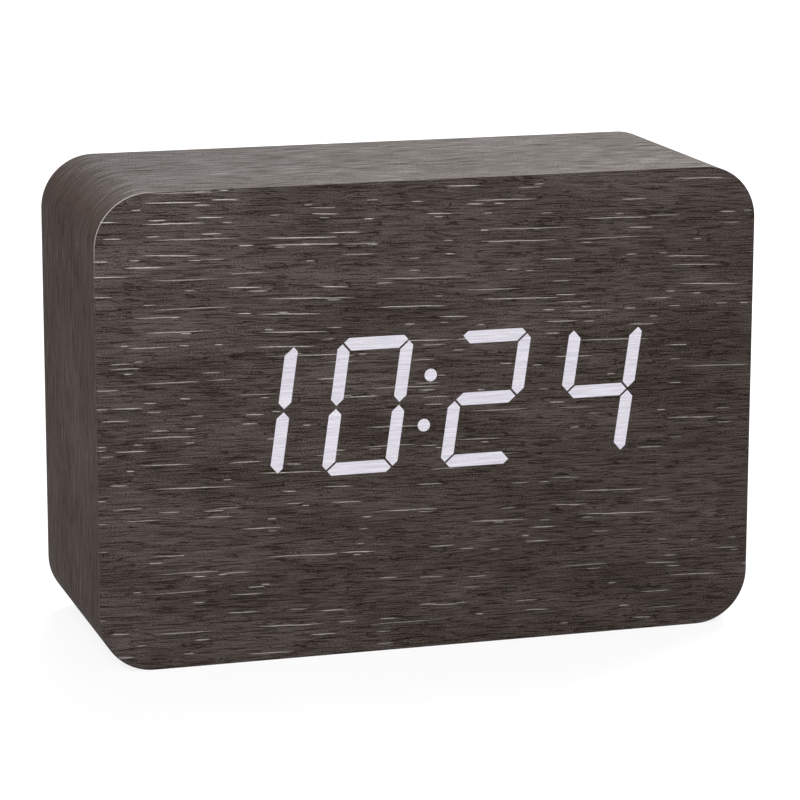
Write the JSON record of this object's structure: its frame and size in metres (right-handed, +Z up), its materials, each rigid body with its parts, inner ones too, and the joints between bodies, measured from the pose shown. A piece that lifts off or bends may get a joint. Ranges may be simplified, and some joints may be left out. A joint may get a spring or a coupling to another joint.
{
  "type": "digital alarm clock",
  "caption": "Rounded wooden block alarm clock whose slanted segment digits shine through the front veneer, with buttons, power inlet and hinged battery door at the back.",
  "frame": {"origin": "under the middle of the case, at the centre of its base", "axes": "+X to the right seen from the front, +Y towards the back, +Z up"},
  "size_m": [0.15, 0.057, 0.105],
  "materials": {
    "core_board": "raw fibreboard, painted black in the display pocket",
    "dark_veneer": "satin dark brown-grey wood grain with pale pores",
    "black_plastic": "fine spark-textured black",
    "button_plastic": "satin black",
    "lit_segment": "diffusing resin, lit cool white",
    "dark_segment": "diffusing resin, unlit",
    "circuit_board": "green solder resist",
    "light_chip": "clear resin over phosphor",
    "chip_plastic": "moulded black epoxy",
    "screw_steel": "zinc-plated",
    "bright_metal": "nickel-plated",
    "white_nylon": "natural nylon",
    "ribbon_grey": "flat flexible cable",
    "capacitor_sleeve": "shrink sleeve",
    "cell_sleeve": "plain dark sleeve",
    "red_insulation": "satin",
    "black_insulation": "satin"
  },
  "bodies": {
    "case": {"case_core": "core_board", "front_veneer": "dark_veneer", "side_veneer": "dark_veneer", "base_veneer": "dark_veneer", "rear_veneer": "dark_veneer", "segment_mask": "black_plastic", "hour_tens_digit": "lit_segment", "hour_units_digit": "lit_segment", "minute_tens_digit": "lit_segment", "minute_units_digit": "lit_segment", "colon_dots": "lit_segment", "unlit_segments": "dark_segment", "display_board": "circuit_board", "display_leds": "light_chip", "display_driver": "chip_plastic", "display_screws": "screw_steel", "display_socket": "white_nylon", "ribbon_cable": "ribbon_grey", "board_socket": "white_nylon", "main_board": "circuit_board", "clock_chip": "chip_plastic", "clock_crystal": "bright_metal", "smoothing_capacitor": "capacitor_sleeve", "buzzer": "black_plastic", "microphone": "bright_metal", "temperature_sensor": "chip_plastic", "button_switches": "chip_plastic", "slide_switch_body": "bright_metal", "inlet_shell": "bright_metal", "inlet_tongue": "chip_plastic", "rear_cover": "black_plastic", "cover_screws": "screw_steel", "board_screws": "screw_steel", "battery_cells": "cell_sleeve", "battery_springs": "bright_metal", "battery_contacts": "bright_metal", "red_lead": "red_insulation", "black_lead": "black_insulation"},
    "set_key": {"set_button": "button_plastic", "set_plunger": "white_nylon"},
    "alarm_key": {"alarm_button": "button_plastic", "alarm_plunger": "white_nylon"},
    "up_key": {"up_button": "button_plastic", "up_plunger": "white_nylon"},
    "down_key": {"down_button": "button_plastic", "down_plunger": "white_nylon"},
    "mode_slider": {"slide_switch_knob": "button_plastic"},
    "door": {"battery_door": "black_plastic"}
  },
  "joints": [
    {"name": "set_press", "type": "slide", "parent": "case", "child": "set_key", "axis": [0, -1, 0], "range_m": [0, 0.0004], "stiffness_N_per_m": 1500},
    {"name": "alarm_press", "type": "slide", "parent": "case", "child": "alarm_key", "axis": [0, -1, 0], "range_m": [0, 0.0004], "stiffness_N_per_m": 1500},
    {"name": "up_press", "type": "slide", "parent": "case", "child": "up_key", "axis": [0, -1, 0], "range_m": [0, 0.0004], "stiffness_N_per_m": 1500},
    {"name": "down_press", "type": "slide", "parent": "case", "child": "down_key", "axis": [0, -1, 0], "range_m": [0, 0.0004], "stiffness_N_per_m": 1500},
    {"name": "mode_slide", "type": "slide", "parent": "case", "child": "mode_slider", "axis": [1, 0, 0], "range_m": [0, 0.002]},
    {"name": "door_hinge", "type": "hinge", "parent": "case", "child": "door", "pos_m": [0.00146, 0.0258, 0.0525], "axis": [0, 0, 1], "range_deg": [0, 90]}
  ]
}
